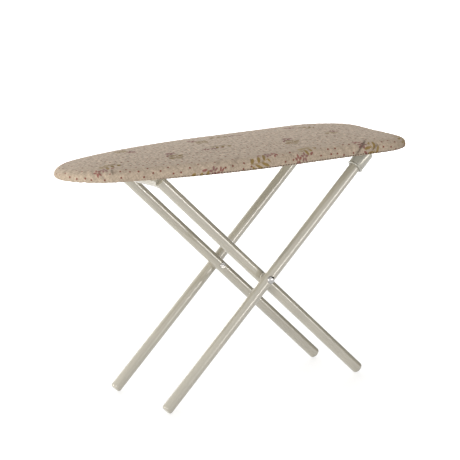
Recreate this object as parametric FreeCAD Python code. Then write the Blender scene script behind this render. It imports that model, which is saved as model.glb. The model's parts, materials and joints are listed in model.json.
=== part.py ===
"""Miniature folding ironing board on crossed steel rod legs.

Millimetres.  +Z is up, +X runs from the rounded nose to the square tail, -Y is the near side.
The origin is on the floor, under the middle of the board.
The model is drawn standing: the outer leg frame hangs on an axle under the tail, the inner frame
is riveted to it where they cross, and its top bar slides under the board towards the nose.
"""
import FreeCAD, Part
import math
import os

Vector = FreeCAD.Vector

# ---- driving dimensions: legs --------------------------------------------------------------
ROD_DIAMETER = 5.0
FOOT_BEVEL = 0.7               # broken edge of each closed foot end
OUTER_LEG_ANGLE = 42.8         # of the outer legs above the floor, degrees
INNER_LEG_ANGLE = 45.4         # of the inner legs above the floor, degrees
OUTER_LEG_SPACING = 46.4       # between the axes of the two outer legs
CROSSING_HEIGHT = 50.3         # of the scissor rivets above the floor
CROSSING_X = 4.1               # of the scissor rivets from the middle of the board
HINGE_HEIGHT = 97.75           # of the hinge axle above the floor
BAR_BELOW_HINGE = 0.35         # inner top bar's axis, below the hinge axle
INNER_LEG_STUB = 1.0           # of each inner leg past the bar's axis

# ---- driving dimensions: board -------------------------------------------------------------
BOARD_LENGTH = 159.7           # over the cover
BOARD_WIDTH = 78.0             # over the cover
TAPER_LENGTH = 88.0            # from the nose tip to the parallel sides
SIDE_RADIUS = 183.0            # of the long arcs that narrow the board towards its nose
TAIL_RADIUS = 71.5             # of the bowed tail edge
TAIL_CORNER_RADIUS = 20.0
TRAY_ABOVE_HINGE = 4.65        # from the axle's axis to the tray's underside
TRAY_THICKNESS = 0.8
TRAY_RIM_DEPTH = 1.5           # from the tray's top face to the lower edge of its rim
TRAY_BEVEL = 0.9               # pressed into the tray's outer edge, above the rim
RIB_LENGTH = 74.0
RIB_WIDTH = 3.6
RIB_DEPTH = 0.6
RIB_SPACING = 23.0
FOAM_THICKNESS = 2.2
COVER_THICKNESS = 0.5
COVER_BEVEL = 2.9              # where the padded top falls away to the side
COVER_HEM_WIDTH = 3.0          # of the hem that turns under the rim
COVER_HEM_DROP = 0.05          # gap between the rim and the hem under it
ELASTIC_WIDTH = 1.2
ELASTIC_THICKNESS = 0.7

# ---- driving dimensions: hinge and catch ---------------------------------------------------
AXLE_DIAMETER = 2.5
FERRULE_DIAMETER = 7.0
FERRULE_BELOW_AXLE = 6.6       # along the leg
FERRULE_ABOVE_AXLE = 2.25      # along the leg
FERRULE_BEVEL = 0.5            # broken edge of the ferrule's top end
FERRULE_BEAD = 0.15            # how far the bead round the ferrule's mouth stands out
FERRULE_BEAD_HEIGHT = 0.8
HINGE_SHEET = 1.0
HINGE_BEND = 0.6               # inside bend radius of the hinge brackets
HINGE_EAR_RADIUS = 2.3
HINGE_FOOT_LENGTH = 12.0       # along the board
HINGE_FOOT_WIDTH = 8.0         # from the ear towards the middle
HINGE_FOOT_CORNER = 1.5
HINGE_SIDE_GAP = 0.5           # between each ear and the ferrule beside it
CATCH_SHEET = 0.8
CATCH_WIDTH = 14.0
CATCH_STOP_DEPTH = 4.6         # tab behind the bar, below the tray's underside
CATCH_STOP_WIDTH = 7.0
CATCH_TAIL_LENGTH = 14.5       # plate behind the bar's axis
CATCH_LIP_WIDTH = 1.6
CATCH_CORNER = 2.0
SMALL_RIVET_SHANK = 1.6
SMALL_RIVET_HEAD = 3.0
SMALL_RIVET_HEIGHT = 0.6

# ---- driving dimensions: scissor pivots ----------------------------------------------------
WASHER_THICKNESS = 0.55
WASHER_DIAMETER = 4.6
RIVET_SHANK = 2.0
RIVET_HEAD = 3.4
RIVET_HEAD_HEIGHT = 1.1
RIVET_TAIL = 2.7
RIVET_TAIL_HEIGHT = 0.6
RIVET_SEAT_DEPTH = 0.25        # spot face under each rivet's head and tail

# ---- clearances ----------------------------------------------------------------------------
FIXED_FIT = 0.02               # radial, between parts that are pressed or welded together
RUNNING_FIT = 0.05             # radial, where something turns, and beside each washer
SLIDE_GAP = 0.35               # between the sliding bar and what it passes or rests against
LAYER_GAP = 0.05               # between the layers of the board

# ---- places worked out from them -----------------------------------------------------------
ROD_RADIUS = ROD_DIAMETER / 2
OUTER_Y = OUTER_LEG_SPACING / 2
INNER_Y = OUTER_Y - ROD_DIAMETER - WASHER_THICKNESS - 2 * RUNNING_FIT
BAR_HEIGHT = HINGE_HEIGHT - BAR_BELOW_HINGE
OUTER_REACH = (HINGE_HEIGHT - CROSSING_HEIGHT) / math.sin(math.radians(OUTER_LEG_ANGLE))
INNER_REACH = (BAR_HEIGHT - CROSSING_HEIGHT) / math.sin(math.radians(INNER_LEG_ANGLE))
HINGE_X = CROSSING_X + OUTER_REACH * math.cos(math.radians(OUTER_LEG_ANGLE))
BAR_X = CROSSING_X - INNER_REACH * math.cos(math.radians(INNER_LEG_ANGLE))

TRAY_UNDERSIDE = HINGE_HEIGHT + TRAY_ABOVE_HINGE
TRAY_TOP = TRAY_UNDERSIDE + TRAY_THICKNESS
RIM_BOTTOM = TRAY_TOP - TRAY_RIM_DEPTH
TRAY_INSET = COVER_THICKNESS + LAYER_GAP
HEM_TOP = RIM_BOTTOM - COVER_HEM_DROP
HEM_BOTTOM = HEM_TOP - COVER_THICKNESS
FOAM_BOTTOM = TRAY_TOP + LAYER_GAP
COVER_INSIDE = FOAM_BOTTOM + FOAM_THICKNESS + LAYER_GAP
COVER_TOP = COVER_INSIDE + COVER_THICKNESS

SIDES = {"near": -1, "far": 1}


def outline_arcs(inset):
    """Half of the board's plan outline, nose to tail, as arcs and a line moved in by inset.

    Four circles, each tangent to the next: the nose's, the side's, the tail corner's and the
    tail's.  Moving the outline in only changes their radii.
    """
    half_width = BOARD_WIDTH / 2
    nose_x = -BOARD_LENGTH / 2
    side_x = nose_x + TAPER_LENGTH
    side_y = half_width - SIDE_RADIUS
    nose_radius = (SIDE_RADIUS ** 2 - TAPER_LENGTH ** 2 - side_y ** 2) / (2 * (SIDE_RADIUS - TAPER_LENGTH))
    nose_centre = Vector(nose_x + nose_radius, 0, 0)
    side_centre = Vector(side_x, side_y, 0)
    tail_centre = Vector(BOARD_LENGTH / 2 - TAIL_RADIUS, 0, 0)
    corner_y = half_width - TAIL_CORNER_RADIUS
    corner_run = math.sqrt((TAIL_RADIUS - TAIL_CORNER_RADIUS) ** 2 - corner_y ** 2)
    corner_centre = Vector(tail_centre.x + corner_run, corner_y, 0)

    def on_circle(centre, radius, degrees):
        angle = math.radians(degrees)
        return centre + Vector(math.cos(angle), math.sin(angle), 0) * (radius - inset)

    meet_nose = math.degrees(math.atan2(nose_centre.y - side_centre.y, nose_centre.x - side_centre.x))
    meet_tail = math.degrees(math.atan2(corner_y, corner_run))
    nose_end = on_circle(nose_centre, nose_radius, meet_nose)
    side_end = on_circle(side_centre, SIDE_RADIUS, 90)
    corner_start = on_circle(corner_centre, TAIL_CORNER_RADIUS, 90)
    corner_end = on_circle(corner_centre, TAIL_CORNER_RADIUS, meet_tail)
    return [
        Part.Arc(on_circle(nose_centre, nose_radius, 180),
                 on_circle(nose_centre, nose_radius, (180 + meet_nose) / 2), nose_end),
        Part.Arc(nose_end, on_circle(side_centre, SIDE_RADIUS, (meet_nose + 90) / 2), side_end),
        Part.LineSegment(side_end, corner_start),
        Part.Arc(corner_start, on_circle(corner_centre, TAIL_CORNER_RADIUS, (90 + meet_tail) / 2), corner_end),
        Part.Arc(corner_end, on_circle(tail_centre, TAIL_RADIUS, meet_tail / 2),
                 on_circle(tail_centre, TAIL_RADIUS, 0)),
    ]


def outline_wire(inset):
    """The whole plan outline at Z = 0, moved in by inset."""
    half = Part.Wire([curve.toShape() for curve in outline_arcs(inset)])
    other = half.mirror(Vector(0, 0, 0), Vector(0, 1, 0))
    return Part.Wire(Part.__sortEdges__(half.Edges + other.Edges))


def board_slab(inset, bottom, top):
    """A slab with the board's plan outline between two heights."""
    slab = Part.Face(outline_wire(inset)).extrude(Vector(0, 0, top - bottom))
    slab.translate(Vector(0, 0, bottom))
    return slab


def edges_at(shape, height):
    """The edges that lie flat at one height."""
    return [edge for edge in shape.Edges
            if abs(edge.BoundBox.ZMin - height) < 1e-4 and abs(edge.BoundBox.ZMax - height) < 1e-4]


def bevel_inside(bevel, depth):
    """The bevel of a 45 degree edge that lies depth inside another one, so that the layer between is even."""
    return bevel - depth * (2 - math.sqrt(2))


def bevelled_slab(inset, bottom, top, bevel):
    """A slab with the board's plan outline and a bevel round its top face."""
    slab = board_slab(inset, bottom, top)
    return slab.makeChamfer(bevel, edges_at(slab, top))


def y_cylinder(radius, x, z, y_from, y_to):
    """A cylinder along Y between two places."""
    return Part.makeCylinder(radius, abs(y_to - y_from), Vector(x, min(y_from, y_to), z), Vector(0, 1, 0))


def domed(radius, height, base, axis):
    """A low dome: a slice of a sphere on a round base."""
    sphere_radius = (radius ** 2 + height ** 2) / (2 * height)
    direction = Vector(axis).normalize()
    ball = Part.makeSphere(sphere_radius, base - direction * (sphere_radius - height))
    return ball.common(Part.makeCylinder(radius, height, base, direction))


def place_on_leg(shape, angle, towards_tail):
    """Stand a shape drawn along +Z from the crossing at its leg's angle."""
    lean = (90 - angle) if towards_tail else -(90 - angle)
    turned = shape.copy()
    turned.rotate(Vector(0, 0, 0), Vector(0, 1, 0), lean)
    turned.translate(Vector(CROSSING_X, 0, CROSSING_HEIGHT))
    return turned


def place_outer(shape):
    return place_on_leg(shape, OUTER_LEG_ANGLE, True)


def place_inner(shape):
    return place_on_leg(shape, INNER_LEG_ANGLE, False)


def foot_reach(angle):
    """Distance along a leg from the crossing to its flat end, so that the bevelled edge stands on the floor."""
    lean = math.radians(angle)
    end_height = ROD_RADIUS * math.cos(lean) - FOOT_BEVEL * min(math.sin(lean), math.cos(lean))
    return (CROSSING_HEIGHT - end_height) / math.sin(lean)


def save(name, shape):
    shape.exportStep("parts/" + name + ".step")


# ---- board: tray, foam, cover, elastic -----------------------------------------------------

def board_tray():
    """Pressed steel tray, open below, with a turned rim and two long stiffening ribs."""
    outer = bevelled_slab(TRAY_INSET, RIM_BOTTOM, TRAY_TOP, TRAY_BEVEL)
    inner = bevelled_slab(TRAY_INSET + TRAY_THICKNESS, RIM_BOTTOM - 1, TRAY_UNDERSIDE,
                          bevel_inside(TRAY_BEVEL, TRAY_THICKNESS))
    tray = outer.cut(inner)
    for side in SIDES.values():
        tray = tray.fuse(rib_bar(side, TRAY_UNDERSIDE - RIB_DEPTH, TRAY_UNDERSIDE, RIB_WIDTH))
        tray = tray.cut(rib_bar(side, TRAY_TOP - RIB_DEPTH, TRAY_TOP, RIB_WIDTH - 2 * TRAY_THICKNESS))
    for x, y in catch_rivet_places():
        tray = tray.cut(rivet_hole(x, y))
    return tray.removeSplitter()


def rib_bar(side, bottom, top, width):
    """A long bar with bevelled ends, for the outside or the groove of a pressed rib."""
    y = side * RIB_SPACING / 2
    length = RIB_LENGTH - RIB_WIDTH + width
    bar = Part.makeBox(length, width, top - bottom, Vector(-length / 2, y - width / 2, bottom))
    corners = [edge for edge in bar.Edges if edge.BoundBox.ZLength > 1e-4]
    return bar.makeChamfer(width / 3, corners)


def foam_pad():
    """Flat foam pad on the tray, its edge cut away along the cover's slope."""
    pad = bevelled_slab(TRAY_INSET, RIM_BOTTOM, COVER_INSIDE - LAYER_GAP, bevel_inside(COVER_BEVEL, TRAY_INSET))
    return pad.cut(board_slab(0, RIM_BOTTOM - 1, FOAM_BOTTOM))


def cotton_cover():
    """Fitted cover: top, sloping edge, side and a hem that turns under the rim."""
    outer = bevelled_slab(0, HEM_BOTTOM, COVER_TOP, COVER_BEVEL)
    inner = bevelled_slab(COVER_THICKNESS, HEM_TOP, COVER_INSIDE, bevel_inside(COVER_BEVEL, COVER_THICKNESS))
    mouth = board_slab(COVER_THICKNESS + COVER_HEM_WIDTH, HEM_BOTTOM - 1, HEM_TOP)
    return outer.cut(inner).cut(mouth)


def hem_elastic():
    """Flat elastic that gathers the hem's inner edge, lying against it all round."""
    inset = COVER_THICKNESS + COVER_HEM_WIDTH + LAYER_GAP
    top = HEM_BOTTOM + ELASTIC_THICKNESS
    return board_slab(inset, HEM_BOTTOM, top).cut(board_slab(inset + ELASTIC_WIDTH, HEM_BOTTOM - 1, top + 1))


# ---- hinge at the tail ---------------------------------------------------------------------

def ear_outer_y():
    """Outer face of a hinge ear, beside the ferrule."""
    return OUTER_Y - FERRULE_DIAMETER / 2 - HINGE_SIDE_GAP


def hinge_bracket(side):
    """L bracket in folded sheet: a foot welded under the tray and a round ear with the axle's hole."""
    outer_y = ear_outer_y()
    foot_y = outer_y - HINGE_SHEET - HINGE_FOOT_WIDTH
    bend_y = outer_y - HINGE_SHEET - HINGE_BEND
    foot_z = TRAY_UNDERSIDE - HINGE_SHEET
    foot = Part.makeBox(HINGE_FOOT_LENGTH, bend_y - foot_y, HINGE_SHEET,
                        Vector(HINGE_X - HINGE_FOOT_LENGTH / 2, foot_y, foot_z))
    inner_edges = [edge for edge in foot.Edges
                   if edge.BoundBox.YMax < foot_y + 1e-4 and edge.BoundBox.ZLength > HINGE_SHEET / 2]
    foot = foot.makeFillet(HINGE_FOOT_CORNER, inner_edges)
    bend_z = foot_z - HINGE_BEND
    bend = y_bend(bend_y, bend_z, HINGE_BEND, HINGE_BEND + HINGE_SHEET)
    ear = Part.makeBox(2 * HINGE_EAR_RADIUS, HINGE_SHEET, bend_z - HINGE_HEIGHT,
                       Vector(HINGE_X - HINGE_EAR_RADIUS, outer_y - HINGE_SHEET, HINGE_HEIGHT))
    ear = ear.fuse(y_cylinder(HINGE_EAR_RADIUS, HINGE_X, HINGE_HEIGHT, outer_y - HINGE_SHEET, outer_y))
    bracket = foot.fuse([bend, ear])
    bracket = bracket.cut(y_cylinder(AXLE_DIAMETER / 2 + RUNNING_FIT, HINGE_X, HINGE_HEIGHT,
                                     outer_y - 2 * HINGE_SHEET, outer_y + 1))
    if side < 0:
        bracket = bracket.mirror(Vector(0, 0, 0), Vector(0, 1, 0))
    return bracket.removeSplitter()


def y_bend(centre_y, centre_z, inner_radius, outer_radius):
    """Quarter turn of the bracket's sheet between foot and ear, as wide as the ear."""
    x = HINGE_X - HINGE_EAR_RADIUS
    length = 2 * HINGE_EAR_RADIUS
    base = Vector(x, centre_y, centre_z)
    solid = Part.makeCylinder(outer_radius, length, base, Vector(1, 0, 0))
    solid = solid.cut(Part.makeCylinder(inner_radius, length, base, Vector(1, 0, 0)))
    return solid.common(Part.makeBox(length, outer_radius, outer_radius, base))


# ---- catch at the nose ---------------------------------------------------------------------

def catch_rivet_places():
    x_tail = BAR_X + CATCH_TAIL_LENGTH - SMALL_RIVET_HEAD
    y = CATCH_WIDTH / 2 - SMALL_RIVET_HEAD
    return [(x_tail, -y), (x_tail, y)]


def rivet_hole(x, y):
    """Hole through the tray and the strip under it."""
    radius = SMALL_RIVET_SHANK / 2 + FIXED_FIT
    return Part.makeCylinder(radius, 4 * TRAY_THICKNESS, Vector(x, y, TRAY_TOP - 3.5 * TRAY_THICKNESS))


def catch_rivet(x, y):
    """Small rivet: a flat head under the strip and a shank set flush with the tray's top face."""
    seat = TRAY_UNDERSIDE - CATCH_SHEET
    shank = Part.makeCylinder(SMALL_RIVET_SHANK / 2, TRAY_TOP - seat, Vector(x, y, seat))
    head = Part.makeCylinder(SMALL_RIVET_HEAD / 2, SMALL_RIVET_HEIGHT, Vector(x, y, seat), Vector(0, 0, -1))
    return shank.fuse(head).removeSplitter()


def bar_rise():
    """How far the bar's top comes up as the legs fold, with both leg angles falling together."""
    highest = 0.0
    for step in range(21):
        share = 1 - step / 20
        outer = math.radians(OUTER_LEG_ANGLE * share)
        inner = math.radians(INNER_LEG_ANGLE * share)
        drop = OUTER_REACH * math.sin(outer) - INNER_REACH * math.sin(inner)
        highest = max(highest, BAR_BELOW_HINGE - drop)
    return highest


def catch_bracket():
    """Flat strip under the tray with a stop tab lanced down behind the bar and a lip before it."""
    top = TRAY_UNDERSIDE
    under = top - CATCH_SHEET
    lip_x = BAR_X - ROD_RADIUS - SLIDE_GAP - CATCH_LIP_WIDTH
    tail_x = BAR_X + CATCH_TAIL_LENGTH
    stop_x = BAR_X + ROD_RADIUS + SLIDE_GAP
    plate = Part.makeBox(tail_x - lip_x, CATCH_WIDTH, CATCH_SHEET, Vector(lip_x, -CATCH_WIDTH / 2, under))
    tail_corners = [edge for edge in plate.Edges
                    if edge.BoundBox.XMin > tail_x - 1e-4 and edge.BoundBox.ZLength > CATCH_SHEET / 2]
    plate = plate.makeFillet(CATCH_CORNER, tail_corners)
    window = Part.makeBox(CATCH_STOP_DEPTH - CATCH_SHEET, CATCH_STOP_WIDTH, 3 * CATCH_SHEET,
                          Vector(stop_x + CATCH_SHEET, -CATCH_STOP_WIDTH / 2, under - CATCH_SHEET))
    stop = Part.makeBox(CATCH_SHEET, CATCH_STOP_WIDTH, CATCH_STOP_DEPTH - CATCH_SHEET / 2,
                        Vector(stop_x, -CATCH_STOP_WIDTH / 2, top - CATCH_STOP_DEPTH))
    stop_corners = [edge for edge in stop.Edges
                    if edge.BoundBox.ZMax < top - CATCH_STOP_DEPTH + 1e-4 and edge.BoundBox.YLength < 1e-4]
    stop = stop.makeFillet(CATCH_CORNER, stop_corners)
    lip_bottom = BAR_HEIGHT + ROD_RADIUS + bar_rise() + SLIDE_GAP
    lip = Part.makeBox(CATCH_LIP_WIDTH, CATCH_WIDTH, top - lip_bottom,
                       Vector(lip_x, -CATCH_WIDTH / 2, lip_bottom))
    lip_edges = [edge for edge in edges_at(lip, lip_bottom) if edge.BoundBox.YLength > CATCH_WIDTH / 2]
    lip = lip.makeFillet(CATCH_LIP_WIDTH * 0.45, lip_edges)
    bracket = plate.cut(window).fuse([stop, lip])
    for x, y in catch_rivet_places():
        bracket = bracket.cut(rivet_hole(x, y))
    return bracket.removeSplitter()


# ---- outer leg frame -----------------------------------------------------------------------

def rivet_holes(side, leg_y, fit):
    """Rivet hole through a leg at the crossing, with the spot faces that its head and tail sit on."""
    hole = y_cylinder(RIVET_SHANK / 2 + fit, 0, 0, side * (leg_y - ROD_DIAMETER), side * (leg_y + ROD_DIAMETER))
    head_seat = y_cylinder(RIVET_HEAD / 2 + RUNNING_FIT, 0, 0, side * (OUTER_Y + ROD_RADIUS - RIVET_SEAT_DEPTH),
                           side * (OUTER_Y + ROD_DIAMETER))
    tail_seat = y_cylinder(RIVET_TAIL / 2 + RUNNING_FIT, 0, 0, side * (INNER_Y - ROD_RADIUS + RIVET_SEAT_DEPTH),
                           side * (INNER_Y - ROD_DIAMETER))
    return hole.fuse([head_seat, tail_seat])


def leg_rod(bottom, top, y):
    """Round rod along Z with a broken edge at its foot."""
    rod = Part.makeCylinder(ROD_RADIUS, top - bottom, Vector(0, y, bottom))
    return rod.makeChamfer(FOOT_BEVEL, edges_at(rod, bottom))


def outer_leg(side):
    """Outer leg: plain rod, drilled for the scissor rivet and, in its ferrule, for the axle."""
    y = side * OUTER_Y
    rod = leg_rod(-foot_reach(OUTER_LEG_ANGLE), OUTER_REACH + FERRULE_ABOVE_AXLE, y)
    axle_hole = y_cylinder(AXLE_DIAMETER / 2 + FIXED_FIT, 0, OUTER_REACH, 0, axle_half_length(side))
    return place_outer(rod.cut(rivet_holes(side, OUTER_Y, FIXED_FIT)).cut(axle_hole))


def axle_half_length(side):
    """Signed place of the axle's end, just short of the leg's outer surface."""
    return side * (OUTER_Y + ROD_RADIUS - AXLE_DIAMETER / 4)


def top_ferrule(side):
    """Steel ferrule round the outer leg's top end, with a bead round its open mouth below."""
    y = side * OUTER_Y
    bottom = OUTER_REACH - FERRULE_BELOW_AXLE
    top = OUTER_REACH + FERRULE_ABOVE_AXLE
    radius = FERRULE_DIAMETER / 2
    body = Part.makeCylinder(radius, top - bottom, Vector(0, y, bottom))
    body = body.makeChamfer(FERRULE_BEVEL, edges_at(body, top))
    bead = Part.makeCylinder(radius + FERRULE_BEAD, FERRULE_BEAD_HEIGHT, Vector(0, y, bottom))
    body = body.fuse(bead)
    bore = Part.makeCylinder(ROD_RADIUS + FIXED_FIT, top - bottom + 2, Vector(0, y, bottom - 1))
    axle_hole = y_cylinder(AXLE_DIAMETER / 2 + FIXED_FIT, 0, OUTER_REACH, 0, y)
    return place_outer(body.cut(bore).cut(axle_hole).removeSplitter())


def hinge_axle():
    """Round axle across the board's tail, fixed in both outer legs."""
    return y_cylinder(AXLE_DIAMETER / 2, HINGE_X, HINGE_HEIGHT, axle_half_length(-1), axle_half_length(1))


def scissor_rivet(side):
    """Rivet through both legs: domed head outside, shank, and a flattened tail inside."""
    head_y = side * (OUTER_Y + ROD_RADIUS - RIVET_SEAT_DEPTH)
    tail_y = side * (INNER_Y - ROD_RADIUS + RIVET_SEAT_DEPTH - RUNNING_FIT)
    shank = y_cylinder(RIVET_SHANK / 2, 0, 0, head_y, tail_y - side * RIVET_TAIL_HEIGHT / 2)
    head = domed(RIVET_HEAD / 2, RIVET_HEAD_HEIGHT, Vector(0, head_y, 0), Vector(0, side, 0))
    tail = y_cylinder(RIVET_TAIL / 2, 0, 0, tail_y, tail_y - side * RIVET_TAIL_HEIGHT)
    return place_outer(shank.fuse([head, tail]).removeSplitter())


# ---- inner leg frame -----------------------------------------------------------------------

def inner_leg(side):
    """Inner leg: plain rod, drilled for the scissor rivet, that ends just past the bar."""
    rod = leg_rod(-foot_reach(INNER_LEG_ANGLE), INNER_REACH + INNER_LEG_STUB, side * INNER_Y)
    return place_inner(rod.cut(rivet_holes(side, INNER_Y, RUNNING_FIT)))


def inner_top_bar():
    """Bar between the inner legs' tops, its ends coped to the round of the legs and welded."""
    bar = y_cylinder(ROD_RADIUS, 0, INNER_REACH, -INNER_Y, INNER_Y)
    for side in SIDES.values():
        leg = Part.makeCylinder(ROD_RADIUS + FIXED_FIT, INNER_REACH + ROD_DIAMETER, Vector(0, side * INNER_Y, 0))
        bar = bar.cut(leg)
    return place_inner(bar)


def spacer_washer(side):
    """Thin washer that keeps the crossing legs apart."""
    inner_face = INNER_Y + ROD_RADIUS + RUNNING_FIT
    washer = y_cylinder(WASHER_DIAMETER / 2, 0, 0, side * inner_face, side * (inner_face + WASHER_THICKNESS))
    hole = y_cylinder(RIVET_SHANK / 2 + RUNNING_FIT, 0, 0, side * (inner_face - 1),
                      side * (inner_face + WASHER_THICKNESS + 1))
    return place_inner(washer.cut(hole))


# ---- write the parts -----------------------------------------------------------------------

os.makedirs("parts", exist_ok=True)

save("board_tray", board_tray())
save("foam_pad", foam_pad())
save("cotton_cover", cotton_cover())
save("hem_elastic", hem_elastic())
save("catch_bracket", catch_bracket())
save("catch_rivets", Part.makeCompound([catch_rivet(x, y) for x, y in catch_rivet_places()]))
save("hinge_axle", hinge_axle())
save("inner_top_bar", inner_top_bar())
for side_name, side_sign in SIDES.items():
    save(side_name + "_hinge_bracket", hinge_bracket(side_sign))
    save(side_name + "_outer_leg", outer_leg(side_sign))
    save(side_name + "_top_ferrule", top_ferrule(side_sign))
    save(side_name + "_scissor_rivet", scissor_rivet(side_sign))
    save(side_name + "_inner_leg", inner_leg(side_sign))
    save(side_name + "_spacer_washer", spacer_washer(side_sign))
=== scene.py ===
import json
import math

import bmesh
import bpy
import numpy as np
from mathutils import Matrix, Vector


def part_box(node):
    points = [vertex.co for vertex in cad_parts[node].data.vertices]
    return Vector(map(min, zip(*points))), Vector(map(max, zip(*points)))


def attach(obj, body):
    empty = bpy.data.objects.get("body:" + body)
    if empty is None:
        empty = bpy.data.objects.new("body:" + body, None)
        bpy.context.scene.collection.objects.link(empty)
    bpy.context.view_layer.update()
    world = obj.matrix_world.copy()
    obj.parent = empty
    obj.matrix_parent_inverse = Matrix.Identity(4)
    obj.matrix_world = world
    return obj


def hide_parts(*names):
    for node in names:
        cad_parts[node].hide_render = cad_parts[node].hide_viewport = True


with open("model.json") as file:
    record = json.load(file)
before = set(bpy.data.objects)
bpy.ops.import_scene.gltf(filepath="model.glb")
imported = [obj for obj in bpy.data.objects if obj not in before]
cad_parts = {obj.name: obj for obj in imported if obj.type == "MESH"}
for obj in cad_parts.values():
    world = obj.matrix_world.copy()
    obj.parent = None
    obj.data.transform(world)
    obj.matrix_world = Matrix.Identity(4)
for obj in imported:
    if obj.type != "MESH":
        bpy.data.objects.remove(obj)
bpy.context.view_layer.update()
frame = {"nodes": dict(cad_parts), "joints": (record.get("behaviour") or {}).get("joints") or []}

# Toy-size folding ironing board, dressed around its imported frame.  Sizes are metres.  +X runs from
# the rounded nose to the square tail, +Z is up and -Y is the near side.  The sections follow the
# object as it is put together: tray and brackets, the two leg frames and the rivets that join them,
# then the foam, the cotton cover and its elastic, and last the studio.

MM = 0.001


# ---- camera --------------------------------------------------------------------------------
# A long lens, low over the near side and a little towards the nose, as a catalogue picture of such
# a toy is taken.  It is turned a few degrees about its own line of sight.

CAMERA_TURN = math.radians(30.17)      # of the line of sight, from +Y towards +X
CAMERA_FALL = math.radians(10.77)      # of the line of sight, below level
CAMERA_ROLL = math.radians(-2.65)
CAMERA_DISTANCE = 0.91025
CAMERA_LENS = 163.7
CAMERA_TARGET = Vector((-0.15 * MM, 0, 69.0 * MM))

sight = Vector((math.sin(CAMERA_TURN) * math.cos(CAMERA_FALL),
                math.cos(CAMERA_TURN) * math.cos(CAMERA_FALL), -math.sin(CAMERA_FALL)))
level = Vector((math.cos(CAMERA_TURN), -math.sin(CAMERA_TURN), 0))
upright = level.cross(sight)
camera_right = level * math.cos(CAMERA_ROLL) + upright * math.sin(CAMERA_ROLL)
camera_up = upright * math.cos(CAMERA_ROLL) - level * math.sin(CAMERA_ROLL)
camera = bpy.data.objects.new("camera", bpy.data.cameras.new("camera"))
camera.data.lens = CAMERA_LENS
camera.data.sensor_width = 36
camera.data.clip_start = 0.05
turn = Matrix((camera_right, camera_up, -sight)).transposed()
camera.matrix_world = Matrix.Translation(CAMERA_TARGET - sight * CAMERA_DISTANCE) @ turn.to_4x4()
bpy.context.scene.collection.objects.link(camera)
bpy.context.scene.camera = camera


# ---- tray and brackets ---------------------------------------------------------------------
# Folded sheet steel under the board: a shallow pressed tray, two hinge ears welded to it and the
# riveted catch strip.  All are sprayed in the legs' warm stone grey before the cover goes on.

class Wire:
    """One output of a shader node.  Sums and products of wires and numbers add Math nodes to the tree."""

    def __init__(self, tree, socket=None):
        self.tree = tree
        self.socket = socket

    def node(self, kind, settings=None, sockets=None, output=0):
        """Add a node: first its settings, then the values or wires of its sockets, by name or number."""
        made = self.tree.nodes.new(kind)
        for name, value in (settings or {}).items():
            setattr(made, name, value)
        for place, value in (sockets or {}).items():
            if isinstance(value, Wire):
                self.tree.links.new(value.socket, made.inputs[place])
            else:
                made.inputs[place].default_value = value
        return Wire(self.tree, made.outputs[output])

    def beside(self, output):
        """Another output of the same node."""
        return Wire(self.tree, self.socket.node.outputs[output])

    def calc(self, operation, *values):
        return self.node("ShaderNodeMath", {"operation": operation}, dict(enumerate(values)))

    def __add__(self, other):
        return self.calc("ADD", self, other)

    def __radd__(self, other):
        return self.calc("ADD", other, self)

    def __sub__(self, other):
        return self.calc("SUBTRACT", self, other)

    def __rsub__(self, other):
        return self.calc("SUBTRACT", other, self)

    def __mul__(self, other):
        return self.calc("MULTIPLY", self, other)

    def __rmul__(self, other):
        return self.calc("MULTIPLY", other, self)

    def __truediv__(self, other):
        return self.calc("DIVIDE", self, other)

    def __pow__(self, other):
        return self.calc("POWER", self, other)

    def between(self, low, high):
        """0 below low, 1 above high and smooth in between; the other way round where high is the smaller."""
        settings = {"interpolation_type": "SMOOTHSTEP"}
        if low < high:
            return self.node("ShaderNodeMapRange", settings, {0: self, 1: low, 2: high, 3: 0.0, 4: 1.0})
        return self.node("ShaderNodeMapRange", settings, {0: self, 1: high, 2: low, 3: 1.0, 4: 0.0})


def new_finish(name, metallic=0.0, **fixed):
    """A material with its Principled shader: the material, the shader node and a wire to start from."""
    material = bpy.data.materials.new(name)
    material.use_nodes = True
    tree = material.node_tree
    shader = tree.nodes["Principled BSDF"]
    shader.inputs["Metallic"].default_value = metallic
    for socket, value in fixed.items():
        shader.inputs[socket.replace("_", " ")].default_value = value
    return material, shader, Wire(tree)


def feed(shader, socket, wire):
    """Join a wire to one of the shader's sockets."""
    wire.tree.links.new(wire.socket, shader.inputs[socket])


def blend_colours(mask, first, second):
    """The first colour where the mask is 0 and the second where it is 1."""
    return mask.node("ShaderNodeMix", {"data_type": "RGBA"}, {0: mask, 6: first, 7: second}, output=2)


def speckle(start, place, scale, detail=2.0, roughness=0.5):
    """Noise from 0 to 1 at a number of cells per metre."""
    return start.node("ShaderNodeTexNoise", {}, {"Vector": place, "Scale": scale, "Detail": detail,
                                                 "Roughness": roughness})


def raise_surface(shader, height, depth, start):
    """Bump the surface by height, of 0 to 1, times a depth in metres."""
    bump = start.node("ShaderNodeBump", {}, {"Strength": 1.0, "Distance": depth, "Height": height})
    feed(shader, "Normal", bump)


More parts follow.
